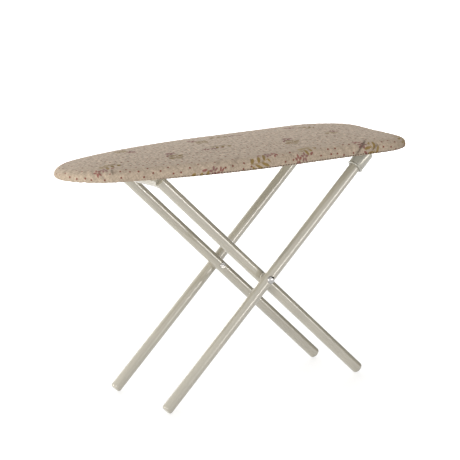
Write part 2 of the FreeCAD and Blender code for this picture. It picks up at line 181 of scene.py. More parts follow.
def sprayed_paint(name, colour, roughness, peel=6e-6, gloss=0.0, metallic=0.0, gloss_index=1.5):
    """Satin sprayed paint on steel: fine orange peel, slight clouding and a few duller handled patches."""
    material, shader, start = new_finish(name, metallic, Coat_Weight=gloss, Coat_Roughness=0.07,
                                         Coat_IOR=gloss_index, Specular_IOR_Level=0.3)
    place = start.node("ShaderNodeTexCoord", output=3)
    clouds = speckle(start, place, 60, 3)
    handled = speckle(start, place, 210, 4, 0.65).between(0.56, 0.72)
    dust = speckle(start, place, 2600, 1).between(0.62, 0.74)
    darker = tuple(0.95 * part for part in colour) + (1,)
    lighter = tuple(min(1, 1.02 * part) for part in colour) + (1,)
    tone = blend_colours(clouds.between(0.35, 0.65), darker, lighter)
    tone = blend_colours(dust * 0.25, tone, tuple(0.72 * part for part in colour) + (1,))
    feed(shader, "Base Color", tone)
    feed(shader, "Roughness", clouds * 0.08 + (roughness - 0.04) + handled * 0.1)
    orange_peel = speckle(start, place, 1500, 2)
    raise_surface(shader, orange_peel + handled * 0.3, peel, start)
    return material


def dress(node, material):
    """Give a piece of the frame its finish."""
    for slot in frame["nodes"][node].material_slots:
        slot.material = material


STONE_GREY = (0.53, 0.495, 0.415)
LEG_GREY = (0.50, 0.465, 0.38)

tray_paint = sprayed_paint("tray_paint", STONE_GREY, 0.42)
for node in ("board_tray", "catch_bracket", "near_hinge_bracket", "far_hinge_bracket"):
    dress(node, tray_paint)


def plated_steel(name, colour, roughness, grain):
    """Plated or drawn steel: bright metal with fine lines of polish and a few dull specks."""
    material, shader, start = new_finish(name, metallic=1.0)
    place = start.node("ShaderNodeTexCoord", output=3)
    stretched = start.node("ShaderNodeMapping", {}, {"Vector": place, "Scale": grain})
    lines = speckle(start, stretched, 900, 3, 0.6)
    specks = speckle(start, place, 1900, 2).between(0.6, 0.72)
    dull = tuple(0.55 * part for part in colour) + (1,)
    feed(shader, "Base Color", blend_colours(specks * 0.5, tuple(colour) + (1,), dull))
    feed(shader, "Roughness", lines * 0.12 + (roughness - 0.06) + specks * 0.15)
    raise_surface(shader, lines, 4e-6, start)
    return material


rivet_nickel = plated_steel("rivet_nickel", (0.44, 0.43, 0.42), 0.16, (1, 1, 1))
dress("catch_rivets", rivet_nickel)


# ---- outer leg frame -----------------------------------------------------------------------
# Two straight round rods with closed feet, each with a pressed ferrule round its top end, and the
# steel axle that is fixed in them and turns in the hinge ears under the tail.

def surface(name, points, wrap_rows=False, uv=None, sharp=40):
    """A smooth mesh over a grid of points, rows by columns by 3.  Columns always close into rings.

    Points that coincide, at a pole or along a spine, are merged, and faces are turned outwards.
    uv, where given, names UV maps: each is rows by columns by 2, with one more column than the points.
    """
    rows, columns = points.shape[:2]
    row, column = np.meshgrid(np.arange(rows if wrap_rows else rows - 1), np.arange(columns), indexing="ij")
    next_row = (row + 1) % rows
    next_column = (column + 1) % columns
    faces = np.stack([row * columns + column, row * columns + next_column,
                      next_row * columns + next_column, next_row * columns + column], axis=-1)
    mesh = bpy.data.meshes.new(name)
    mesh.from_pydata(points.reshape(-1, 3), [], faces.reshape(-1, 4))
    for layer, grid in (uv or {}).items():
        corners = np.stack([grid[row, column], grid[row, column + 1],
                            grid[next_row, column + 1], grid[next_row, column]], axis=-2)
        mesh.uv_layers.new(name=layer).data.foreach_set("uv", corners.astype(np.float32).ravel())
    shape = bmesh.new()
    shape.from_mesh(mesh)
    bmesh.ops.remove_doubles(shape, verts=shape.verts, dist=1e-7)
    bmesh.ops.recalc_face_normals(shape, faces=shape.faces)
    shape.to_mesh(mesh)
    shape.free()
    mesh.polygons.foreach_set("use_smooth", np.ones(len(mesh.polygons), bool))
    mesh.set_sharp_from_angle(angle=math.radians(sharp))
    piece = bpy.data.objects.new(name, mesh)
    bpy.context.scene.collection.objects.link(piece)
    return piece


def bend(height, radius, size, start, end, steps=6):
    """Points of an arc in a turned profile, as (height, radius) rows; 0 degrees points along the axis."""
    angles = np.radians(np.linspace(start, end, steps + 1))
    return np.stack([height + size * np.cos(angles), radius + size * np.sin(angles)], axis=1)


def turned(name, profile, base, axis, around=56, hollow=False):
    """A turned piece: base + height * axis + radius * (cos a * side + sin a * other), for a profile of
    (height, radius) rows and a full turn of angles a.  A hollow piece's profile closes on itself."""
    axis = np.array(axis, float) / np.linalg.norm(axis)
    side = np.cross(axis, (0.0, 1.0, 0.0) if abs(axis[1]) < 0.9 else (1.0, 0.0, 0.0))
    side /= np.linalg.norm(side)
    other = np.cross(axis, side)
    angles = np.arange(around) * 2 * math.pi / around
    spokes = np.outer(np.cos(angles), side) + np.outer(np.sin(angles), other)
    heights, radii = np.array(profile).T
    points = np.array(base, float) + heights[:, None, None] * axis + radii[:, None, None] * spokes
    return surface(name, points, wrap_rows=hollow)


def finished(piece, material, slot, body, *nodes):
    """Give a piece its material, the body it rides on and the frame's nodes it stands for.  Its slot is not
    used.
    """
    piece.data.materials.append(material)
    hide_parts(*nodes)
    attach(piece, body)
    return piece


bar_low, bar_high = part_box("inner_top_bar")
rod_radius = (bar_high.z - bar_low.z) / 2
bar_centre = np.array((bar_low + bar_high) / 2)
hinge = np.array(frame["joints"][0]["pos_m"])
crossing = np.array(frame["joints"][1]["pos_m"])
near_low, near_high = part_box("near_outer_leg")
outer_y = abs((near_low.y + near_high.y) / 2)
near_low, near_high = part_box("near_inner_leg")
inner_y = abs((near_low.y + near_high.y) / 2)
FOOT_ROUNDING = 1.2 * MM
SIDES = {"near": -1, "far": 1}

leg_paint = sprayed_paint("leg_paint", LEG_GREY, 0.35, 0.3e-6, gloss=0.9, gloss_index=1.95)


def leg(name, top, y, past_top):
    """A rod that stands on the floor by its rounded foot and runs through the crossing to its top."""
    reach = np.linalg.norm(top - crossing)
    axis = (top - crossing) / reach
    lean = math.atan2(axis[2], abs(axis[0]))
    lowest = (rod_radius - FOOT_ROUNDING) * math.cos(lean) + FOOT_ROUNDING * (1 - math.sin(lean))
    foot = (crossing[2] - lowest) / math.sin(lean)
    base = crossing - axis * foot + (0, y, 0)
    length = foot + reach + past_top
    foot_edge = bend(FOOT_ROUNDING, rod_radius - FOOT_ROUNDING, FOOT_ROUNDING, 180, 90, 8)
    stations = np.linspace(FOOT_ROUNDING, length, 24)[1:, None]
    shaft = np.hstack([stations, np.full_like(stations, rod_radius)])
    profile = np.vstack([[(0, 0), (0, 0.5 * rod_radius)], foot_edge, shaft, [(length, 0)]])
    return turned(name, profile, base, axis)


FERRULE_RADIUS = 3.5 * MM
FERRULE_BELOW = 6.6 * MM
FERRULE_ABOVE = 2.25 * MM
FERRULE_ROUNDING = 0.5 * MM
LIP_RADIUS = 0.42 * MM
LIP_GROOVE = 0.2 * MM
ferrule_paint = sprayed_paint("ferrule_paint", (0.50, 0.485, 0.42), 0.25, 4e-6, gloss=0.9, metallic=0.15)


def ferrule(name, y):
    """A pressed tube with a rolled lip at its mouth, a groove over the lip and a rounded top edge."""
    axis = (hinge - crossing) / np.linalg.norm(hinge - crossing)
    base = hinge - axis * FERRULE_BELOW + (0, y, 0)
    top = FERRULE_BELOW + FERRULE_ABOVE
    lip = bend(LIP_RADIUS, FERRULE_RADIUS - LIP_RADIUS / 2, LIP_RADIUS, 180, 20, 10)
    groove_height = 2.2 * LIP_RADIUS
    groove = [(groove_height, FERRULE_RADIUS - LIP_GROOVE),
              (groove_height + 0.25 * MM, FERRULE_RADIUS - LIP_GROOVE / 2),
              (groove_height + 0.6 * MM, FERRULE_RADIUS)]
    crown = bend(top - FERRULE_ROUNDING, FERRULE_RADIUS - FERRULE_ROUNDING, FERRULE_ROUNDING, 90, 0, 6)
    bore = [(top, rod_radius), (0.4 * MM, rod_radius), (0, rod_radius + 0.3 * MM)]
    profile = np.vstack([lip, groove, crown, bore])
    return turned(name, profile, base, axis, 72, hollow=True)


for side, sign in SIDES.items():
    finished(leg(side + "_outer_rod", hinge, sign * outer_y, FERRULE_ABOVE - 0.1 * MM), leg_paint,
             "powder_coat", "outer_frame", side + "_outer_leg")
    finished(ferrule(side + "_ferrule", sign * outer_y), ferrule_paint,
             "ferrule_paint", "outer_frame", side + "_top_ferrule")

axle_low, axle_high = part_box("hinge_axle")
axle_radius = (axle_high.z - axle_low.z) / 2
axle_length = axle_high.y - axle_low.y
AXLE_EDGE = 0.2 * MM
axle_steel = plated_steel("axle_steel", (0.46, 0.45, 0.43), 0.34, (1, 0.05, 1))
axle_profile = np.vstack([
    [(0, 0)], bend(AXLE_EDGE, axle_radius - AXLE_EDGE, AXLE_EDGE, 180, 90, 3),
    bend(axle_length - AXLE_EDGE, axle_radius - AXLE_EDGE, AXLE_EDGE, 90, 0, 3), [(axle_length, 0)]])
finished(turned("axle_rod", axle_profile, (hinge[0], axle_low.y, hinge[2]), (0, 1, 0), 40), axle_steel,
         "axle_steel", "outer_frame", "hinge_axle")


# ---- inner leg frame -----------------------------------------------------------------------
# Two more of the same rods, joined at the top by a bar of the same stock whose ends are coped to
# the legs and welded, which leaves a small fillet round each end.  Nylon washers keep the crossing
# rods apart.

INNER_STUB = 1.0 * MM
for side, sign in SIDES.items():
    finished(leg(side + "_inner_rod", bar_centre * (1, 0, 1), sign * inner_y, INNER_STUB), leg_paint,
             "powder_coat", "inner_frame", side + "_inner_leg")

FILLET_REACH = 1.0 * MM
FILLET_HEIGHT = 0.15 * MM
bar_start = rod_radius * 0.8
reach = np.linspace(0, FILLET_REACH, 7)
fillet = np.stack([bar_start + reach, rod_radius + FILLET_HEIGHT * (1 - reach / FILLET_REACH) ** 2.5], axis=1)
bar_profile = np.vstack([[(0, 0), (0, rod_radius)], fillet, fillet[::-1] * (-1, 1) + (2 * inner_y, 0),
                         [(2 * inner_y, rod_radius), (2 * inner_y, 0)]])
finished(turned("top_bar", bar_profile, bar_centre - (0, inner_y, 0), (0, 1, 0)), leg_paint,
         "powder_coat", "inner_frame", "inner_top_bar")


def moulded_nylon(name):
    """Natural nylon: milky, with a faint cloud and a fine moulded grain."""
    material, shader, start = new_finish(name)
    place = start.node("ShaderNodeTexCoord", output=3)
    clouds = speckle(start, place, 400, 2)
    feed(shader, "Base Color", blend_colours(clouds, (0.55, 0.52, 0.45, 1), (0.68, 0.65, 0.58, 1)))
    feed(shader, "Roughness", clouds * 0.1 + 0.45)
    raise_surface(shader, speckle(start, place, 4000, 2), 3e-6, start)
    return material


washer_nylon = moulded_nylon("washer_nylon")
for side in SIDES:
    dress(side + "_spacer_washer", washer_nylon)


# ---- scissor rivets ------------------------------------------------------------------------
# One nickel-plated rivet a side, through both rods: a polished dome outside, sunk a little into
# the rod, and inside a tail that is rolled over round its hollow end.

RIVET_SHANK = 1.0 * MM
RIVET_HEAD = 1.7 * MM
RIVET_HEAD_HEIGHT = 1.1 * MM
RIVET_SINK = 0.25 * MM
RIVET_RIM = 0.2 * MM
RIVET_TAIL = 1.35 * MM
RIVET_TAIL_HEIGHT = 0.6 * MM
RIVET_DIMPLE = 0.75 * MM


def scissor_rivet(name, sign):
    """Profile from the middle of the rolled tail, out and along the shank, to the top of the dome."""
    tail_face = -(inner_y - rod_radius + RIVET_SINK)
    head_face = outer_y + rod_radius - RIVET_SINK
    tail = tail_face * -1 - RIVET_TAIL_HEIGHT
    roll = RIVET_TAIL_HEIGHT / 2
    dimple = [(tail + 0.75 * roll, 0), (tail + 0.7 * roll, 0.4 * RIVET_DIMPLE),
              (tail + 0.4 * roll, 0.85 * RIVET_DIMPLE)]
    rolled = bend(tail + roll, RIVET_TAIL - roll, roll, 190, 0, 10)
    shank = [(tail + 2 * roll, RIVET_SHANK), (head_face, RIVET_SHANK)]
    rim = [(head_face, RIVET_HEAD - 0.05 * MM), (head_face + RIVET_RIM / 2, RIVET_HEAD),
           (head_face + RIVET_RIM, RIVET_HEAD - 0.01 * MM)]
    share = np.linspace(0, 1, 12)[1:, None] * math.pi / 2
    dome = np.hstack([head_face + RIVET_RIM + (RIVET_HEAD_HEIGHT - RIVET_RIM) * np.sin(share),
                      RIVET_HEAD * np.cos(share)])
    dome[-1, 1] = 0
    profile = np.vstack([dimple, rolled, shank, rim, dome])
    return turned(name, profile, crossing * (1, 0, 1), (0, sign, 0), 48)


for side, sign in SIDES.items():
    finished(scissor_rivet(side + "_rivet", sign), rivet_nickel,
             "rivet_chrome", "outer_frame", side + "_scissor_rivet")


# ---- foam pad ------------------------------------------------------------------------------
# An open-cell foam pad on the tray, cut to the board's outline.  The stretched cover presses its
# top edge down into a long soft roll, and its tips a little more.

cover_low, cover_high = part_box("cotton_cover")
board_length = cover_high.x - cover_low.x
half_width = (cover_high.y - cover_low.y) / 2
TAPER_LENGTH = 88.0 * MM
SIDE_RADIUS = 183.0 * MM
TAIL_RADIUS = 71.5 * MM
CORNER_RADIUS = 20.0 * MM


def board_outline(count):
    """Points, outward normals and distances round the board's edge, evenly spaced from the nose tip.

    Half of the edge is four arcs and a line, each point centre + radius * normal with the normal
    turning steadily from the nose to the tail; the other half is its mirror image.
    """
    nose_x, tail_x = cover_low.x, cover_high.x
    side_y = half_width - SIDE_RADIUS
    nose_radius = (SIDE_RADIUS ** 2 - TAPER_LENGTH ** 2 - side_y ** 2) / (2 * (SIDE_RADIUS - TAPER_LENGTH))
    nose_turn = math.atan2(-side_y, nose_radius - TAPER_LENGTH)
    corner_y = half_width - CORNER_RADIUS
    corner_run = math.sqrt((TAIL_RADIUS - CORNER_RADIUS) ** 2 - corner_y ** 2)
    tail_turn = math.atan2(corner_y, corner_run)
    corner_x = tail_x - TAIL_RADIUS + corner_run
    arcs = [(nose_x + nose_radius, 0, nose_radius, math.pi, nose_turn),
            (nose_x + TAPER_LENGTH, side_y, SIDE_RADIUS, nose_turn, math.pi / 2),
            (corner_x, corner_y, CORNER_RADIUS, math.pi / 2, tail_turn),
            (tail_x - TAIL_RADIUS, 0, TAIL_RADIUS, tail_turn, 0)]
    places, turns = [], []
    for x, y, radius, start, end in arcs:
        angle = np.linspace(start, end, 400)
        places.append(np.stack([x + radius * np.cos(angle), y + radius * np.sin(angle)], axis=1))
        turns.append(angle)
    place, turn = np.vstack(places), np.concatenate(turns)
    run = np.concatenate([[0], np.cumsum(np.linalg.norm(np.diff(place, axis=0), axis=1))])
    half = np.linspace(0, run[-1], count // 2 + 1)
    near = np.stack([np.interp(half, run, place[:, 0]), np.interp(half, run, place[:, 1])], axis=1)
    angle = np.interp(half, run, turn)
    point = np.vstack([near, near[-2:0:-1] * (1, -1)])
    angle = np.concatenate([angle, -angle[-2:0:-1]])
    along = np.arange(count) * 2 * run[-1] / count
    return point, np.stack([np.cos(angle), np.sin(angle)], axis=1), along


SPINE_START = cover_low.x + 30 * MM
SPINE_END = cover_high.x - 34 * MM


def rings(point, normal, insets, shrink):
    """Rows of the outline moved in by inset, then drawn towards the spine by shrink, from 1 down to 0."""
    inner = point[None] - normal[None] * insets[..., None]
    spine = np.stack([np.clip(inner[..., 0], SPINE_START, SPINE_END), np.zeros(inner.shape[:2])], axis=-1)
    return spine + (inner - spine) * shrink[..., None]


EDGE_DEPTH, NOSE_DEPTH, TAIL_DEPTH = 3.6 * MM, 5.0 * MM, 6.5 * MM
EDGE_DROP, NOSE_DROP, TAIL_DROP = 2.9 * MM, 3.0 * MM, 3.4 * MM
EDGE_SAG, NOSE_SAG, TAIL_SAG = 0.35 * MM, 1.1 * MM, 0.8 * MM
NEAR_LIFT = 0.9 * MM
NEAR_LIFT_END, NEAR_LIFT_FADE = 74 * MM, 18 * MM
MIDDLE_BLEND = 3 * MM
CORNER_LIFT = 1.0 * MM
CORNER_PLACE, CORNER_SPREAD = 20 * MM, 13 * MM
EDGE_SQUARENESS = 2.2
HEM_DROP = 0.3 * MM


def along_board(point, middle, nose, tail):
    """A value that is the middle's along the board and turns into the nose's and the tail's at its ends.

    It does so with the fourth power of the way to the nose and the eighteenth to the tail, where it
    is weighted by the side as well, because one corner there is worn flatter than the other.
    """
    x, y = point[..., 0] / (board_length / 2), point[..., 1] / half_width
    to_nose = (nose - middle) * np.clip(-x, 0, 1) ** 4
    to_tail = (tail - middle) * np.clip(x, 0, 1) ** 18 * (1 - 0.9 * y)
    return middle + to_nose + to_tail


def board_top(point, edge_point, share=1.0):
    """Height of the covered top, a little lower at the two ends.

    The near side is packed fuller, by the distance of the nearest edge from the middle line over that
    distance and MIDDLE_BLEND, and so is one corner of the tail, under a bell curve.
    """
    x, y = edge_point[..., 0], edge_point[..., 1]
    near = 0.5 * (1 - share * y / (np.abs(y) + MIDDLE_BLEND))
    near = near * np.clip((NEAR_LIFT_END - x) / NEAR_LIFT_FADE, 0, 1)
    bell = np.exp(-((point[..., 1] - CORNER_PLACE) / CORNER_SPREAD) ** 2)
    corner = np.clip(point[..., 0] / (board_length / 2), 0, 1) ** 12 * bell
    sag = along_board(point, EDGE_SAG, NOSE_SAG, TAIL_SAG)
    return cover_high.z - sag + NEAR_LIFT * near + CORNER_LIFT * corner


def edge_height(point, depth_share):
    """Height of the covered top where it rolls over, in a quarter of a squarish oval.

    depth_share runs from 0, where the flat top ends, to 1 at the outline.
    """
    drop = along_board(point, EDGE_DROP, NOSE_DROP, TAIL_DROP)
    oval = (1 - depth_share ** EDGE_SQUARENESS) ** (1 / EDGE_SQUARENESS)
    return board_top(point, point) - drop * (1 - oval)


def edge_depth(point):
    """How far in from the outline the top begins to roll over."""
    return along_board(point, EDGE_DEPTH, NOSE_DEPTH, TAIL_DEPTH)


foam_low, foam_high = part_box("foam_pad")
FOAM_INSET = 1.1 * MM
FOAM_SLACK = 0.3 * MM
FOAM_COLUMNS = 400
FOAM_EDGE_ROWS, FOAM_TOP_ROWS = 15, 8
FOAM_THINNEST = 0.02 * MM
foam_point, foam_normal, _ = board_outline(FOAM_COLUMNS)
foam_depth = edge_depth(foam_point)
foam_share = np.sin(np.linspace(math.pi / 2, 0, FOAM_EDGE_ROWS))[:, None] * (1 - FOAM_INSET / foam_depth)
foam_below = cover_high.z - foam_high.z + FOAM_SLACK
foam_edge = np.maximum(edge_height(foam_point, foam_share) - foam_below, foam_low.z + FOAM_THINNEST)
foam_insets = np.concatenate([np.full((2, FOAM_COLUMNS), FOAM_INSET), foam_depth * (1 - foam_share),
                              np.tile(foam_depth, (FOAM_TOP_ROWS, 1))])
foam_to_spine = np.linspace(1, 0, FOAM_TOP_ROWS + 1)[1:, None]
foam_shrink = np.concatenate([np.zeros((1, FOAM_COLUMNS)), np.ones((FOAM_EDGE_ROWS + 1, FOAM_COLUMNS)),
                              np.tile(foam_to_spine, (1, FOAM_COLUMNS))])
foam_rows = rings(foam_point, foam_normal, foam_insets, foam_shrink)
foam_top = board_top(foam_rows[-FOAM_TOP_ROWS:], foam_point[None], foam_shrink[-FOAM_TOP_ROWS:]) - foam_below
foam_heights = np.concatenate([np.full((2, FOAM_COLUMNS), foam_low.z), foam_edge, foam_top])
foam_points = np.concatenate([foam_rows, foam_heights[..., None]], axis=-1)


def open_cell_foam(name):
    """Cream foam with small open cells, painted darker in their hollows as painted shade."""
    material, shader, start = new_finish(name)
    place = start.node("ShaderNodeTexCoord", output=3)
    cells = start.node("ShaderNodeTexVoronoi", {}, {"Vector": place, "Scale": 2200.0})
    # The cells' hollows are painted darker: painted shade.
    shaded_pits = cells.between(0.25, 0.1)
    feed(shader, "Base Color", blend_colours(shaded_pits, (0.72, 0.66, 0.52, 1), (0.4, 0.35, 0.26, 1)))
    feed(shader, "Roughness", shaded_pits * 0.05 + 0.9)
    raise_surface(shader, cells, 8e-5, start)
    return material


foam = finished(surface("foam", foam_points), open_cell_foam("foam_cells"), "foam", "board", "foam_pad")


# ---- cotton cover --------------------------------------------------------------------------
# Plain-weave printed cotton, cut wider than the board all round.  It is stretched over the foam,
# turned in under the tray's rim and gathered there, so soft ripples run down its side.

COVER_COLUMNS = 540
CROWN_SLOPE = 0.11
TOP_ROWS, EDGE_ROWS = 16, 15
HEM_TURN = 0.7 * MM
HEM_LAYER = 0.3 * MM
HEM_INSET = 3.4 * MM
FOLD_ROWS = 6
RIPPLE_HEIGHT, RIPPLE_COUNT, RIPPLE_SEED = 0.3 * MM, 64, 5
GATHER_HEIGHT, GATHER_COUNT, GATHER_SEED = 0.03 * MM, 150, 8
DEEPEST_RIPPLE = 0.55 * MM
CLOTH_EXCESS = 0.02
FARTHEST_SETTLE = 0.3 * MM
FLAT_SPAN = 0.2


def cover_sections(point):
    """The cover's section at each point of the outline: insets and heights, a row for each place down it.

    The rolled edge, a short straight side, an arc that turns under, the hem's flat underside and its
    fold, and the layer that returns above it.
    """
    floor = cover_low.z - HEM_DROP
    depth_share = np.sin(np.linspace(0, math.pi / 2, EDGE_ROWS))[:, None]
    edge = np.stack([edge_depth(point) * (1 - depth_share), edge_height(point, depth_share)], axis=-1)
    under = bend(floor + HEM_TURN, HEM_TURN, HEM_TURN, 270, 180, 4)[:, ::-1]
    side = [(-0.05 * MM, floor + HEM_TURN + 0.35 * MM)]
    run = np.linspace(HEM_TURN + 0.5 * MM, HEM_INSET, 4)
    flat = np.stack([run, np.full_like(run, floor)], axis=1)
    fold = bend(floor + HEM_LAYER / 2, HEM_INSET, HEM_LAYER / 2, 180, 0, 4)[1:, ::-1]
    back = [(HEM_INSET - 0.8 * MM, floor + HEM_LAYER), (HEM_INSET - 1.9 * MM, floor + HEM_LAYER)]
    lower = np.vstack([side, under, flat, fold, back])[:, None, :]
    whole = np.concatenate([edge, np.broadcast_to(lower, (len(lower), len(point), 2))])
    return whole[..., 0], whole[..., 1]


def ripples(along, down, length, count, seed):
    """Soft gathers: wave packets, each a cosine across a slanted line under a bell curve, added up.

    Their places, lengths, slants and strengths are drawn from a seeded generator; from -1 to 1.
    """
    dice = np.random.default_rng(seed)
    centre, slant = dice.uniform(0, length, count), dice.uniform(0.1, 1.0, count)
    wave, spread = dice.uniform(3.0, 5.5, count) * MM, dice.uniform(4, 12, count) * MM
    strength, phase = dice.uniform(0.25, 1, count), dice.uniform(0, 2 * math.pi, count)
    total = np.zeros(np.broadcast(along, down).shape)
    for packet in range(count):
        apart = (along - centre[packet] + length / 2) % length - length / 2 + slant[packet] * down
        total += strength[packet] * np.cos(2 * math.pi * apart / wave[packet] + phase[packet]) \
            * np.exp(-(apart / spread[packet]) ** 2)
    return np.tanh(total)


outline, outward, along = board_outline(COVER_COLUMNS)
outline_length = along[1] * COVER_COLUMNS
edge_inset, edge_rise = cover_sections(outline)
step = np.hypot(np.diff(edge_inset, axis=0), np.diff(edge_rise, axis=0))
edge_down = np.concatenate([np.zeros((1, COVER_COLUMNS)), np.cumsum(step, axis=0)]) - edge_inset[:1]
top_share = np.linspace(0, 1, TOP_ROWS + 1)[:-1, None] ** 0.8
share = np.concatenate([np.broadcast_to(top_share, (TOP_ROWS, COVER_COLUMNS)), np.ones_like(edge_inset)])
insets = np.concatenate([np.broadcast_to(edge_inset[:1], (TOP_ROWS, COVER_COLUMNS)), edge_inset])
down = np.concatenate([(top_share - 1) * 20 * MM - edge_inset[:1], edge_down])
flat_rows = rings(outline, outward, np.where(share < 1, insets, -down), share)
cover_rows = rings(outline, outward, insets, share)
heights = np.concatenate([board_top(cover_rows[:TOP_ROWS], outline[None], share[:TOP_ROWS]), edge_rise])
cover_points = np.concatenate([cover_rows, heights[..., None]], axis=-1)
reach = np.linalg.norm(cover_rows[TOP_ROWS] - cover_rows[0], axis=-1)
cover_points[:, :, 2] += CROWN_SLOPE / 3 * reach * (1 - share ** 3)

slope = np.gradient(np.stack([insets, heights], axis=-1), axis=0)
slope /= np.maximum(np.linalg.norm(slope, axis=-1, keepdims=True), 1e-9)
lift = np.where(share < 1, 1, -slope[..., 0])
push = np.where(share < 1, 0, -slope[..., 1])
facing = np.concatenate([outward[None] * push[..., None], lift[..., None]], axis=-1)
facing[-FOLD_ROWS:] = facing[-FOLD_ROWS - 1]


def band(start, full, fading, end):
    """1 where the way down the cloth lies between full and fading, and falls evenly to 0 at start and end."""
    return np.clip((down - start) / (full - start), 0, 1) * np.clip((end - down) / (end - fading), 0, 1)


fuller_near = 0.65 - 0.35 * np.tanh(outline[:, 1] / MIDDLE_BLEND)
side_ripples = ripples(along, down, outline_length, RIPPLE_COUNT, RIPPLE_SEED)
side_ripples = side_ripples * band(-8 * MM, -1 * MM, 1.5 * MM, 4.5 * MM) * fuller_near
hem_gathers = ripples(along, np.zeros_like(down), outline_length, GATHER_COUNT, GATHER_SEED)
hem_gathers = hem_gathers * band(0.5 * MM, 3 * MM, 6 * MM, 9 * MM)
relief = RIPPLE_HEIGHT * side_ripples + GATHER_HEIGHT * hem_gathers
cover_points = cover_points + facing * np.maximum(relief, -DEEPEST_RIPPLE)[..., None]


def settle(points, faces, held, excess, cap):
    """Let the cloth find its own folds: a cloth simulation on a copy ten times as large.

    held is each point's hold, from 0 free to 1 fixed, and excess how much wider the cloth is than its shape.
    Each point then moves at most the cap, by the cap times the hyperbolic tangent of its travel over the cap.
    """
    scale = 10
    mesh = bpy.data.meshes.new("cloth_trial")
    mesh.from_pydata(points.reshape(-1, 3) * scale, [], faces)
    trial = bpy.data.objects.new("cloth_trial", mesh)
    bpy.context.scene.collection.objects.link(trial)
    group = trial.vertex_groups.new(name="held")
    hold = held.ravel()
    for step in np.unique(hold):
        group.add(np.flatnonzero(hold == step).tolist(), float(step), "REPLACE")
    cloth = trial.modifiers.new("cloth", "CLOTH")
    cloth.settings.quality = 6
    cloth.settings.mass = 0.1
    cloth.settings.tension_stiffness = cloth.settings.compression_stiffness = 12
    cloth.settings.shear_stiffness = 4
    cloth.settings.bending_stiffness = 1.5
    cloth.settings.vertex_group_mass = "held"
    cloth.settings.shrink_min = cloth.settings.shrink_max = -excess
    cloth.settings.use_pressure = True
    cloth.settings.uniform_pressure_force = 0.6
    cloth.settings.effector_weights.gravity = 0
    cloth.collision_settings.use_collision = False
    cloth.point_cache.frame_start, cloth.point_cache.frame_end = 1, 20
    for moment in range(1, 21):
        bpy.context.scene.frame_set(moment)
    settled = trial.evaluated_get(bpy.context.evaluated_depsgraph_get()).to_mesh()
    place = np.empty(len(settled.vertices) * 3)
    settled.vertices.foreach_get("co", place)
    bpy.data.objects.remove(trial)
    bpy.context.scene.frame_set(1)
    travel = place.reshape(points.shape) / scale - points
    reach = np.maximum(np.linalg.norm(travel, axis=-1, keepdims=True), 1e-9)
    return points + travel * np.tanh(reach / cap) * cap / reach


UNDER_ROW = TOP_ROWS + EDGE_ROWS + 1
rows, columns = cover_points.shape[:2]
row, column = np.meshgrid(np.arange(rows - 1), np.arange(columns), indexing="ij")
next_column = (column + 1) % columns
cover_faces = np.stack([row * columns + column, (row + 1) * columns + column,
                        (row + 1) * columns + next_column, row * columns + next_column], axis=-1)
grip = np.clip((down - 3.5 * MM) / (2 * MM), 0, 1) + (share < 0.5)
hold = np.round(np.clip(grip, 0, 1), 1)
cover_points = settle(cover_points, cover_faces.reshape(-1, 4), hold, CLOTH_EXCESS, FARTHEST_SETTLE)


def lap(grid):
    """A grid of UVs with its first column repeated at the end."""
    return np.concatenate([grid, grid[:, :1]], axis=1)


flat_uv = lap(flat_rows / FLAT_SPAN + 0.5)
edge_uv = np.stack([np.broadcast_to(np.append(along, outline_length) / outline_length, (rows, columns + 1)),
                    lap(down - down[UNDER_ROW]) / FLAT_SPAN + 0.5], axis=-1)


# The print and the weave are laid out in millimetres, and the densities are cells per millimetre.
DOT_DENSITY = 0.26
SPRIG_DENSITY = 0.036
SPRIG_SIZE = 1.1
LEAF_PITCH = 2.7
THREAD_PITCH = 0.8
HEM_LINE = 0.15
STITCH_PITCH = 1.3
DARK_THREAD, PALE_THREAD = (0.25, 0.195, 0.145, 1), (0.72, 0.585, 0.45, 1)
DOT_RED = (0.21, 0.065, 0.045, 1)
# The sprigs' inks on the side and, darker and deeper, on the flat top: the difference is painted shade for
# how the light falls across the top.
SIDE_LEAF, SHADED_TOP_LEAF = (0.27, 0.175, 0.045, 1), (0.17, 0.1, 0.005, 1)
SIDE_MAUVE, SHADED_TOP_MAUVE = (0.25, 0.12, 0.11, 1), (0.15, 0.05, 0.05, 1)
SIDE_RED, SHADED_TOP_RED = (0.26, 0.09, 0.075, 1), (0.16, 0.03, 0.025, 1)
# Stitch thread and painted shade under the gathered hem, in one colour.
STITCH_AND_HEM_SHADE_BROWN = (0.05, 0.03, 0.022, 1)
# Painted shade in the furrows of the creases.
PAINTED_CREASE_SHADE = (0.16, 0.11, 0.08, 1)

# Each crease: where it starts and ends, as (along the edge, down from it), its width and its depth.
CREASES = [((261.5, -4.5), (269.6, 3.6), 0.6, 6.0), ((258.5, 0.2), (261.4, 2.8), 0.5, 4.0),
           ((299.0, -3.5), (304.0, 2.0), 0.8, 1.6), ((311.0, -5.0), (316.5, 1.5), 0.9, 1.8),
           ((324.5, -5.0), (330.5, 2.0), 1.0, 2.2), ((333.0, -4.0), (338.5, 2.5), 0.8, 1.6),
           ((380.9, -3.4), (379.9, 0.6), 0.7, 4.0), ((397.5, -4.0), (395.6, -1.6), 0.6, 1.5),
           ((128.0, -4.0), (133.0, 1.6), 0.4, 3.0), ((60.0, -3.0), (57.0, 1.6), 0.4, 2.5)]


